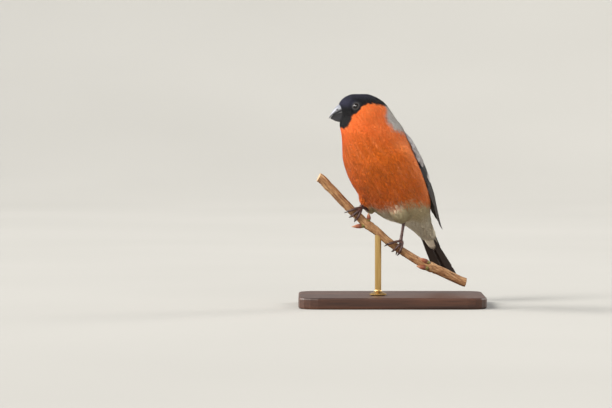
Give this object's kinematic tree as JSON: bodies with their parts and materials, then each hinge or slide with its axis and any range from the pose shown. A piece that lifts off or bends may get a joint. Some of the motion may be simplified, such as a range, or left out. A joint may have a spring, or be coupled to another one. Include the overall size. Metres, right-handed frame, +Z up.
{
  "type": "bullfinch on a twig",
  "caption": "Life-size still model of a perched male bullfinch gripping a cut twig, on a plain display stand.",
  "frame": {"origin": "middle of the stand base's underside, on the surface that the model stands on", "axes": "+Z up. The twig runs along X, with its upper end at -X. The bill points along -X and the breast towards -X and -Y."},
  "size_m": [0.116, 0.095, 0.1325],
  "materials": {
    "cap_black": "short glossy plumage, blue-black sheen",
    "bill_horn": "satin black horn",
    "eye_dark": "wet, glossy dark brown",
    "plumage_red": "soft orange-red plumage, grey above and white below",
    "plumage_white": "soft off-white plumage",
    "wing_black": "glossy black flight feathers",
    "leg_scale": "dull brown scaly skin",
    "claw_horn": "satin dark horn",
    "twig_bark": "thin rough bark",
    "rod_brass": "satin",
    "base_wood": "dark stained, satin varnish"
  },
  "bodies": {
    "root": {"head": "cap_black", "bill_upper": "bill_horn", "bill_lower": "bill_horn", "eye_left": "eye_dark", "eye_right": "eye_dark", "neck": "plumage_red", "torso": "plumage_red", "wing_left": "wing_black", "wing_right": "wing_black", "tail": "wing_black", "thigh_left": "plumage_white", "thigh_right": "plumage_white", "tarsus_left": "leg_scale", "tarsus_right": "leg_scale", "foot_left": "leg_scale", "foot_right": "leg_scale", "claw_left_1": "claw_horn", "claw_left_2": "claw_horn", "claw_left_3": "claw_horn", "claw_left_4": "claw_horn", "claw_right_1": "claw_horn", "claw_right_2": "claw_horn", "claw_right_3": "claw_horn", "claw_right_4": "claw_horn", "perch_twig": "twig_bark", "stand_rod": "rod_brass", "stand_base": "base_wood"}
  },
  "joints": []
}
